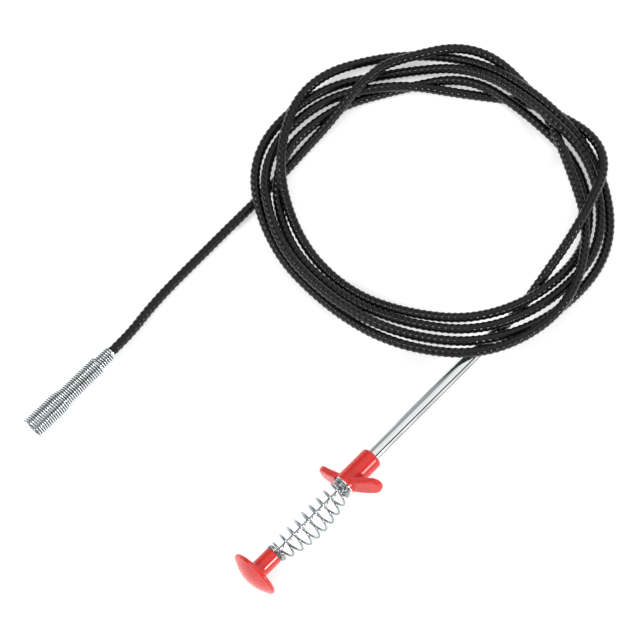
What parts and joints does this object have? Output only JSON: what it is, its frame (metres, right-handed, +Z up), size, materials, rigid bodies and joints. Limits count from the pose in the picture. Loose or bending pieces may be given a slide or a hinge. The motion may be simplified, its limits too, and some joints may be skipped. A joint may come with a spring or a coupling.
{
  "type": "drain auger",
  "caption": "Hand drain auger: spring-loaded thumb plunger, winged finger grip and plated tube drive a pull wire through a long coiled hose to a retracting wire claw in a wound spring head.",
  "frame": {"origin": "on the floor, under the middle of the handle, midway between the top of the thumb knob's dome and the end of the plated tube", "axes": "+X along the handle from the thumb knob towards the hose, +Z up, +Y towards the side where the hose's head lies"},
  "size_m": [0.3633, 0.2164, 0.031],
  "materials": {
    "red_plastic": "glossy moulded, red",
    "plated_steel": "bright nickel plating",
    "spring_steel": "bright drawn wire",
    "head_steel": "bright zinc-plated wire, closely wound",
    "plain_steel": "drawn, bare",
    "pull_wire": "stranded",
    "claw_wire": "bright spring wire",
    "brass": "turned",
    "black_nylon": "moulded",
    "black_hose": "satin plastic skin drawn over a wire core, ridged"
  },
  "bodies": {
    "root": {"spring_seat": "plated_steel", "return_spring": "spring_steel", "finger_grip": "red_plastic", "handle_tube": "plated_steel", "rod_bush": "black_nylon", "hose_coil": "black_hose", "hose_lead": "black_hose", "hose_core": "head_steel", "sleeve_spring": "head_steel", "head_spring": "head_steel"},
    "plunger": {"thumb_knob": "red_plastic", "plunger_rod": "plain_steel", "rod_stop": "black_nylon", "wire_crimp": "plain_steel", "pull_wire_handle": "pull_wire"},
    "claw_carrier": {"claw_ferrule": "brass", "pull_wire_head": "pull_wire"},
    "prong_1": {"claw_prong_1": "claw_wire"},
    "prong_2": {"claw_prong_2": "claw_wire"},
    "prong_3": {"claw_prong_3": "claw_wire"},
    "prong_4": {"claw_prong_4": "claw_wire"}
  },
  "joints": [
    {"name": "plunger_slide", "type": "slide", "parent": "root", "child": "plunger", "axis": [1, 0, 0], "range_m": [0, 0.034], "stiffness_N_per_m": 200, "springref_m": -0.02, "deforming": ["return_spring"]},
    {"name": "claw_slide", "type": "slide", "parent": "root", "child": "claw_carrier", "axis": [-1, 0, 0], "range_m": [0, 0.034]},
    {"name": "prong_1_spread", "type": "hinge", "parent": "claw_carrier", "child": "prong_1", "pos_m": [-0.0872, 0.15764, 0.00799], "axis": [0, 0.7071, -0.7071], "range_deg": [0, 14]},
    {"name": "prong_2_spread", "type": "hinge", "parent": "claw_carrier", "child": "prong_2", "pos_m": [-0.0872, 0.15516, 0.00799], "axis": [0, 0.7071, 0.7071], "range_deg": [0, 14]},
    {"name": "prong_3_spread", "type": "hinge", "parent": "claw_carrier", "child": "prong_3", "pos_m": [-0.0872, 0.15516, 0.00551], "axis": [0, -0.7071, 0.7071], "range_deg": [0, 14]},
    {"name": "prong_4_spread", "type": "hinge", "parent": "claw_carrier", "child": "prong_4", "pos_m": [-0.0872, 0.15764, 0.00551], "axis": [0, -0.7071, -0.7071], "range_deg": [0, 14]}
  ],
  "couplings": [
    {"joint": "claw_slide", "follows": "plunger_slide", "ratio": 1},
    {"joint": "prong_1_spread", "follows": "plunger_slide", "rad_per_m": 7.18},
    {"joint": "prong_2_spread", "follows": "plunger_slide", "rad_per_m": 7.18},
    {"joint": "prong_3_spread", "follows": "plunger_slide", "rad_per_m": 7.18},
    {"joint": "prong_4_spread", "follows": "plunger_slide", "rad_per_m": 7.18}
  ]
}
